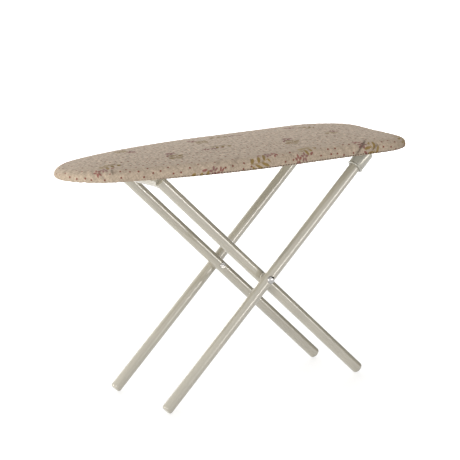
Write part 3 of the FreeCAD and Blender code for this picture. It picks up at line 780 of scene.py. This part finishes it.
def printed_cotton(name):
    """Unbleached cotton with a slubby plain weave, red pin dots and scattered sprigs, and a sewn hem.

    A sprig is a bowed stem, slanted leaves on alternate sides of it, found by folding the stem into
    equal steps, a bud, and two flowers of five petals, found by folding the turn round their middles
    into fifths.  A few sharp creases are pressed into the side, each a furrow round the line between
    two places, with a ridge beside it, and each furrow is painted darker as painted shade.  The hem's
    dark dashed line is sewn stitches and painted shade under the gathered hem together, painted only
    clear of the nose.  On the flat top the print is painted darker and deeper and the weave's grain
    stronger than on the rolled edge and side: painted shade for how the light falls across the top.
    """
    def squeezed(place, scale):
        """A place with its axes scaled, so that the pattern on it is drawn out along the smaller one."""
        return start.node("ShaderNodeMapping", {}, {"Vector": place, "Scale": scale})

    material, shader, start = new_finish(name, Sheen_Weight=0.03, Specular_IOR_Level=0.2)
    span = FLAT_SPAN / MM
    cloth = squeezed(start.node("ShaderNodeUVMap", {"uv_map": "cloth"}), (span, span, span))
    across = cloth.node("ShaderNodeSeparateXYZ", {}, {0: cloth})
    up = across.beside("Y")
    edge = start.node("ShaderNodeSeparateXYZ", {}, {0: start.node("ShaderNodeUVMap", {"uv_map": "edge"})})
    run = edge * (outline_length / MM)
    drop = (edge.beside("Y") - 0.5) * span
    flat_top = drop.between(-8.5, -11.5)

    threads = 2 * math.pi / THREAD_PITCH
    weave = start.calc("SINE", across * threads) * start.calc("SINE", up * threads)
    long_slubs = speckle(start, squeezed(cloth, (0.3, 1.6, 1)), 1.0, 3, 0.65)
    cross_slubs = speckle(start, squeezed(cloth, (1.6, 0.3, 1)), 1.0, 3, 0.65)
    fleck = speckle(start, cloth, 1.1, 2, 0.6)
    slubs = (long_slubs + cross_slubs + fleck) * (1 / 3)
    thread = (weave * 0.06 + slubs).between(0.36, 0.64)
    # On the flat top the weave's grain is painted stronger: painted shade of the weave.
    painted_grain_shade = cross_slubs.between(0.38, 0.62) - 0.5
    tone = (thread - 0.5) * 0.5 + 0.5 + painted_grain_shade * flat_top * 0.4
    ground = blend_colours(tone, DARK_THREAD, PALE_THREAD)

    dots = start.node("ShaderNodeTexVoronoi", {"voronoi_dimensions": "2D"},
                      {"Vector": cloth, "Scale": DOT_DENSITY, "Randomness": 0.45})
    sprigs = start.node("ShaderNodeTexVoronoi", {"voronoi_dimensions": "2D"},
                        {"Vector": cloth, "Scale": SPRIG_DENSITY, "Randomness": 0.5})
    spot = (dots / DOT_DENSITY).between(0.52, 0.32) * (sprigs / SPRIG_DENSITY).between(6.0, 7.0)
    dice = start.node("ShaderNodeSeparateColor", {}, {0: sprigs.beside("Color")})
    local = start.node("ShaderNodeVectorMath", {"operation": "SUBTRACT"},
                       {0: cloth, 1: sprigs.beside("Position")})
    turned_by = start.node("ShaderNodeVectorRotate", {"rotation_type": "Z_AXIS"},
                           {"Vector": local, "Angle": dice * (2 * math.pi)})
    x = start.node("ShaderNodeSeparateXYZ", {}, {0: turned_by})
    x, y = x * (1 / SPRIG_SIZE), x.beside("Y") * (1 / SPRIG_SIZE)
    y = y - x * x * 0.05 + 0.9
    on_stem = x.between(-7.0, -6.6) * x.between(1.2, 0.8)
    stem = start.calc("ABSOLUTE", y).between(0.25, 0.1) * on_stem * 0.6
    side = start.calc("GREATER_THAN", y, 0.0)
    step = x * (1 / LEAF_PITCH) + side * 0.5
    fold = (start.calc("FRACT", step) - 0.5) * LEAF_PITCH
    lean = start.calc("ABSOLUTE", y) - 1.5
    leaf_long = fold * 0.62 + lean * 0.78
    leaf_wide = lean * 0.62 - fold * 0.78
    leaf = ((leaf_long / 1.7) ** 2 + (leaf_wide / 0.6) ** 2).between(1.2, 0.75) * on_stem

    def blossom(middle_x, middle_y):
        """Five petals round a bare middle, found by folding the turn round it into fifths."""
        petal_x, petal_y = x - middle_x, y - middle_y
        radius = (petal_x * petal_x + petal_y * petal_y) ** 0.5
        turn = start.calc("ARCTAN2", petal_y, petal_x) * (5 / (2 * math.pi)) + 10.5
        fifth = (start.calc("FRACT", turn) - 0.5) * (2 * math.pi / 5)
        return (((radius - 1.15) / 0.8) ** 2 + (radius * fifth / 0.5) ** 2).between(1.15, 0.75)

    bud_x, bud_y = x + 0.6, y - 3.4
    bud = ((bud_x / 1.1) ** 2 + (bud_y / 0.5) ** 2).between(1.15, 0.7)
    worn = fleck.between(0.3, 0.55) * 0.15 + 0.85
    # The ink is fuller on the flat top, part of the same painted shade.
    ink = worn * (flat_top * 0.1 + 0.9)
    green = start.calc("MAXIMUM", stem, leaf) * ink
    mauve = blossom(2.6, 1.5) * ink
    red = start.calc("MAXIMUM", blossom(5.2, -0.9), bud) * ink
    colour = blend_colours(spot * worn, ground, DOT_RED)
    colour = blend_colours(green, colour, blend_colours(flat_top, SIDE_LEAF, SHADED_TOP_LEAF))
    colour = blend_colours(mauve, colour, blend_colours(flat_top, SIDE_MAUVE, SHADED_TOP_MAUVE))
    colour = blend_colours(red, colour, blend_colours(flat_top, SIDE_RED, SHADED_TOP_RED))

    # The hem's dashed line: sewn stitches and painted shade under the gathered hem, painted only clear of the
    # nose.
    dash = start.calc("FRACT", run * (1 / STITCH_PITCH))
    dash = dash.between(0.99, 0.85) * dash.between(0.2, 0.4)
    toward_tail = start.calc("ABSOLUTE", run - outline_length / MM / 2).between(175, 135)
    stitch_and_hem_shade = dash * toward_tail * start.calc("ABSOLUTE", drop - HEM_LINE).between(0.32, 0.15)
    colour = blend_colours(stitch_and_hem_shade * 0.85, colour, STITCH_AND_HEM_SHADE_BROWN)
    feed(shader, "Roughness", thread * 0.06 + 0.86)
    creased, darker = thread * 0.0, thread * 0.0
    for (start_run, start_down), (end_run, end_down), width, depth in CREASES:
        hem = np.interp([start_run, end_run], along / MM, down[UNDER_ROW] / MM)
        way = np.array([end_run - start_run, end_down - hem[1] - start_down + hem[0]])
        length = np.linalg.norm(way)
        ahead, aside = run - start_run, drop - (start_down - hem[0])
        share = ahead * (way[0] / length ** 2) + aside * (way[1] / length ** 2)
        across = ahead * (way[1] / length) - aside * (way[0] / length)
        inside = share.between(-0.2, 0.2) * share.between(1.2, 0.8)
        furrow = start.calc("ABSOLUTE", across).between(width, 0.1) * inside
        ridge = start.calc("ABSOLUTE", across - 2 * width).between(1.6 * width, 0.1) * inside
        creased = creased + (ridge * 0.6 - furrow) * depth
        # Each furrow is painted darker as well: painted shade in the crease.
        darker = darker + furrow * (0.12 * depth)
    colour = blend_colours(darker, colour, PAINTED_CREASE_SHADE)
    pucker = speckle(start, start.node("ShaderNodeCombineXYZ", {}, {0: run, 1: drop * 0.15}), 0.7, 2)
    pucker = pucker * drop.between(-3.5, -0.5)
    feed(shader, "Base Color", colour)
    raise_surface(shader, weave * 0.06 + slubs * 0.4 + pucker * 0.6 - stitch_and_hem_shade * 0.6 + creased, 0.7e-4, start)
    return material


cover = surface("cover", cover_points, uv={"cloth": flat_uv, "edge": edge_uv}, sharp=180)
smoother = cover.modifiers.new("smooth", "SUBSURF")
smoother.levels = smoother.render_levels = 1
cotton = printed_cotton("printed_cotton")
finished(cover, cotton, "cotton", "board", "cotton_cover")


# ---- hem elastic ---------------------------------------------------------------------------
# A flat braided elastic, stretched while it is sewn along the hem's inner edge.  Let go, it draws
# the hem in and lies in small even waves of its own.

elastic_low, elastic_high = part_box("hem_elastic")
ELASTIC_WIDTH = 1.2 * MM
ELASTIC_INSET = elastic_low.x - cover_low.x


def elastic_band():
    """The outline carried inwards, with a rounded flat section that waves with a sine of the way along."""
    point, normal, along_band = board_outline(900)
    low, high = elastic_low.z, elastic_high.z
    half_band, half_depth = ELASTIC_WIDTH / 2, (high - low) / 2
    angle = np.arange(12) * 2 * math.pi / 12
    share_out, share_up = np.cos(angle), np.sin(angle)
    square = 1 / np.maximum(np.abs(share_out), np.abs(share_up)) ** 0.8
    inset = ELASTIC_INSET + half_band - half_band * share_out * square
    height = low + half_depth + half_depth * share_up * square * 0.8
    wave = 0.05 * MM * np.sin(along_band * 2 * math.pi / (1.9 * MM))
    ring = point[None] - normal[None] * inset[:, None, None]
    rise = np.broadcast_to(height[:, None], ring.shape[:2]) + wave[None]
    return np.concatenate([ring, rise[..., None]], axis=-1)


def braided_elastic(name):
    """Braided elastic: a fine speckle for its ribs, in its colour, roughness and surface."""
    material, shader, start = new_finish(name)
    place = start.node("ShaderNodeTexCoord", output=3)
    ribs = speckle(start, place, 2600, 2)
    feed(shader, "Base Color", blend_colours(ribs, (0.30, 0.235, 0.18, 1), (0.46, 0.38, 0.30, 1)))
    feed(shader, "Roughness", ribs * 0.1 + 0.8)
    raise_surface(shader, ribs, 5e-5, start)
    return material


finished(surface("elastic", elastic_band(), wrap_rows=True, sharp=80), braided_elastic("braided_elastic"),
         "elastic", "board", "hem_elastic")

CUT_MARGIN = 9.0 * MM
next_point = np.roll(outline, -1, axis=0)
board_area = 0.5 * abs(np.sum(outline[:, 0] * next_point[:, 1] - outline[:, 1] * next_point[:, 0]))
cut_area = board_area + outline_length * CUT_MARGIN + math.pi * CUT_MARGIN ** 2


# ---- studio --------------------------------------------------------------------------------
# A pale floor without an edge, soft lamps overhead and behind, others low on the nose side and in
# front, and a long narrow one that draws the thin line of light down each rod.  A black cloth on the
# right, which the camera doesn't see, gives the rods their darker side.

def lamp(name, place, aim, size, power, colour=(1, 1, 1)):
    """A soft rectangular lamp that faces its aim."""
    light = bpy.data.lights.new(name, "AREA")
    light.shape = "RECTANGLE"
    light.size, light.size_y = size
    light.energy = power
    light.color = colour
    made = bpy.data.objects.new(name, light)
    made.location = place
    made.rotation_mode = "QUATERNION"
    made.rotation_quaternion = (Vector(aim) - Vector(place)).to_track_quat("-Z", "Y")
    bpy.context.scene.collection.objects.link(made)


def background_seen(start):
    """1 for the camera's rays and for those that a surface sends on, 0 for light that falls on the object."""
    path = start.node("ShaderNodeLightPath", output="Is Camera Ray")
    sent_on = start.calc("MAXIMUM", path.beside("Is Glossy Ray"), path.beside("Is Transmission Ray"))
    return start.calc("MAXIMUM", path, sent_on)


MIDDLE = (0, 0, 0.08)
lamp("overhead", (0, 0.2, 1.0), MIDDLE, (0.8, 0.8), 1.1)
lamp("back_window", (0.25, 0.8, 0.38), MIDDLE, (0.9, 0.35), 3.0)
lamp("nose_side", (-0.8, 0.22, 0.06), MIDDLE, (0.25, 0.25), 3.4, (1.0, 0.96, 0.86))
lamp("nose_front", (-0.7, -0.45, 0.08), MIDDLE, (0.25, 0.25), 2.3)
lamp("front_low", (0.42, -0.72, 0.06), MIDDLE, (0.6, 0.12), 1.3, (1.0, 0.95, 0.87))
lamp("low_strip", (0.5, -0.74, 0.04), (0, 0, 0.04), (0.6, 0.03), 0.25)

FLAG_AWAY, FLAG_SHIFT = 1.0, 0.65
FLAG_HALF_LENGTH, FLAG_HEIGHT = 1.05, 1.2
flag_along = np.array([math.sin(CAMERA_TURN), math.cos(CAMERA_TURN), 0])
flag_middle = FLAG_AWAY * np.array([math.cos(CAMERA_TURN), -math.sin(CAMERA_TURN), 0])
flag_middle = flag_middle + FLAG_SHIFT * flag_along
flag_points = [flag_middle + end * FLAG_HALF_LENGTH * flag_along + (0, 0, height)
               for height in (0, FLAG_HEIGHT) for end in (-1, 1)]
flag_mesh = bpy.data.meshes.new("black_flag")
flag_mesh.from_pydata(flag_points, [], [(0, 1, 3, 2)])
flag = bpy.data.objects.new("black_flag", flag_mesh)
flag.visible_camera = False
bpy.context.scene.collection.objects.link(flag)
flag_cloth, flag_shader, _ = new_finish("flag_cloth", Roughness=1.0, Specular_IOR_Level=0.0)
flag_shader.inputs["Base Color"].default_value = (0.02, 0.02, 0.02, 1)
flag_mesh.materials.append(flag_cloth)

floor_points = np.array([[(-6, -6), (6, -6)], [(-6, 6), (6, 6)]], float).reshape(-1, 2)
floor_mesh = bpy.data.meshes.new("floor")
floor_mesh.from_pydata(np.column_stack([floor_points, np.full(4, -0.2 * MM)]), [], [(0, 1, 3, 2)])
floor = bpy.data.objects.new("floor", floor_mesh)
bpy.context.scene.collection.objects.link(floor)
floor_paper, floor_shader, floor_start = new_finish("floor_paper", Roughness=0.9, Emission_Strength=1.0)
floor_shader.inputs["Base Color"].default_value = (0.6, 0.6, 0.6, 1)
place = floor_start.node("ShaderNodeTexCoord", output=3)
away = floor_start.node("ShaderNodeVectorMath", {"operation": "LENGTH"}, {0: place}, output=1)
glow = blend_colours(away.between(0.15, 0.9), (0.62, 0.62, 0.62, 1), (1, 1, 1, 1))
feed(floor_shader, "Emission Color", blend_colours(background_seen(floor_start), (0, 0, 0, 1), glow))
floor_mesh.materials.append(floor_paper)

world = bpy.data.worlds.new("studio")
bpy.context.scene.world = world
world.use_nodes = True
sky = world.node_tree.nodes["Background"]
sky.inputs["Color"].default_value = (1, 1, 1, 1)
SKY_LIGHT = 0.6
feed(sky, "Strength", background_seen(Wire(world.node_tree)) * (1 - SKY_LIGHT) + SKY_LIGHT)

bpy.context.scene.view_settings.view_transform = "Standard"
